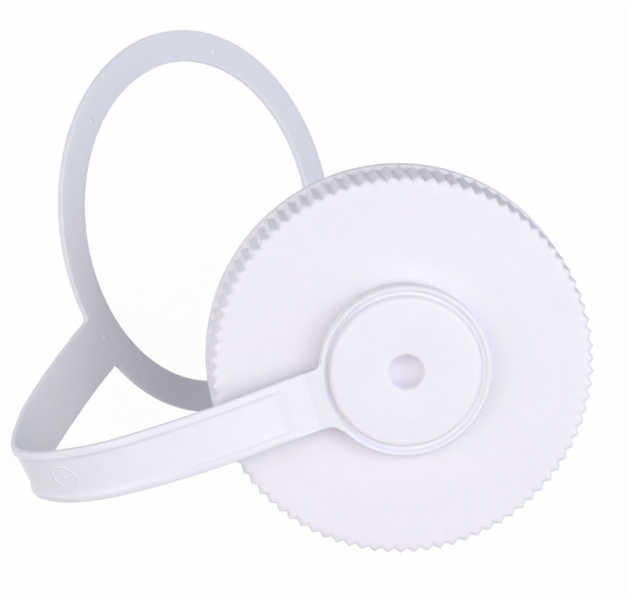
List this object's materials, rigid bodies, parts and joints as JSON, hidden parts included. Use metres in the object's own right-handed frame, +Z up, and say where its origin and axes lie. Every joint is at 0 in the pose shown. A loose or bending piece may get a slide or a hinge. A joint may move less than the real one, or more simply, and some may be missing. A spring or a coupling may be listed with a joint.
{
  "type": "loop-top screw closure",
  "caption": "Serrated screw closure for a wide-mouth bottle, tied by a lipped strap that turns on its crown to a flat loop that stays on the neck.",
  "frame": {"origin": "centre of the neck loop's bore, in the plane the loop lies on", "axes": "+Z up, along the axis of the neck loop; +X from the loop towards the strap"},
  "size_m": [0.116, 0.0941, 0.0869],
  "materials": {
    "closure": "satin",
    "strap": "satin",
    "button": "satin"
  },
  "bodies": {
    "neck_loop": {"neck_loop": "strap"},
    "strap_section_1": {"strap_section_1": "strap"},
    "strap_section_2": {"strap_section_2": "strap"},
    "strap_section_3": {"strap_section_3": "strap"},
    "strap_section_4": {"strap_section_4": "strap"},
    "strap_section_5": {"strap_section_5": "strap"},
    "strap_section_6": {"strap_section_6": "strap"},
    "strap_section_7": {"strap_section_7": "strap"},
    "strap_section_8": {"strap_section_8": "strap"},
    "strap_section_9": {"strap_section_9": "strap"},
    "strap_section_10": {"strap_section_10": "strap"},
    "strap_eye": {"strap_eye": "strap"},
    "closure": {"closure_cap": "closure", "retaining_button": "button"}
  },
  "joints": [
    {"name": "crease_1", "type": "hinge", "parent": "neck_loop", "child": "strap_section_1", "pos_m": [0.0472, 0, 0], "axis": [-0.1045, 0.9945, 0], "range_deg": [-1.5, 7.5]},
    {"name": "crease_2", "type": "hinge", "parent": "strap_section_1", "child": "strap_section_2", "pos_m": [0.06108, -0.00001, 0.00182], "axis": [0.3383, 0.9393, 0.0572], "range_deg": [-1.7, 8.5]},
    {"name": "crease_3", "type": "hinge", "parent": "strap_section_2", "child": "strap_section_3", "pos_m": [0.06831, -0.00001, 0.00381], "axis": [0.3851, 0.9202, 0.0709], "range_deg": [-2.2, 11]},
    {"name": "crease_4", "type": "hinge", "parent": "strap_section_3", "child": "strap_section_4", "pos_m": [0.07417, 0.00008, 0.00662], "axis": [0.0825, 0.9931, -0.0833], "range_deg": [-4.9, 24.5]},
    {"name": "crease_5", "type": "hinge", "parent": "strap_section_4", "child": "strap_section_5", "pos_m": [0.07674, 0.00034, 0.00967], "axis": [0.0714, 0.9928, -0.0967], "range_deg": [-7, 35]},
    {"name": "crease_6", "type": "hinge", "parent": "strap_section_5", "child": "strap_section_6", "pos_m": [0.07728, 0.00109, 0.0156], "axis": [0.0879, 0.9898, 0.1117], "range_deg": [-3.6, 18]},
    {"name": "crease_7", "type": "hinge", "parent": "strap_section_6", "child": "strap_section_7", "pos_m": [0.07622, 0.00186, 0.02042], "axis": [0.0666, 0.9784, 0.1955], "range_deg": [-1.9, 9.5]},
    {"name": "crease_8", "type": "hinge", "parent": "strap_section_7", "child": "strap_section_8", "pos_m": [0.07389, 0.00299, 0.02638], "axis": [0.1556, 0.9877, -0.0124], "range_deg": [-2.5, 12.5]},
    {"name": "crease_9", "type": "hinge", "parent": "strap_section_8", "child": "strap_section_9", "pos_m": [0.06924, 0.00471, 0.03329], "axis": [-0.0984, 0.9373, 0.3345], "range_deg": [-2.6, 13]},
    {"name": "crease_10", "type": "hinge", "parent": "strap_section_9", "child": "strap_section_10", "pos_m": [0.05923, 0.00808, 0.04322], "axis": [0.1241, 0.9816, 0.1449], "range_deg": [-2.1, 10.5]},
    {"name": "crease_11", "type": "hinge", "parent": "strap_section_10", "child": "strap_eye", "pos_m": [0.0451, 0.01284, 0.05149], "axis": [0.3399, 0.9405, 0.0039], "range_deg": [-12, 2.4]},
    {"name": "eye_swivel", "type": "hinge", "parent": "strap_eye", "child": "closure", "pos_m": [0.03036, 0.01777, 0.06253], "axis": [0.6648, -0.2432, 0.7063], "continuous": true}
  ]
}
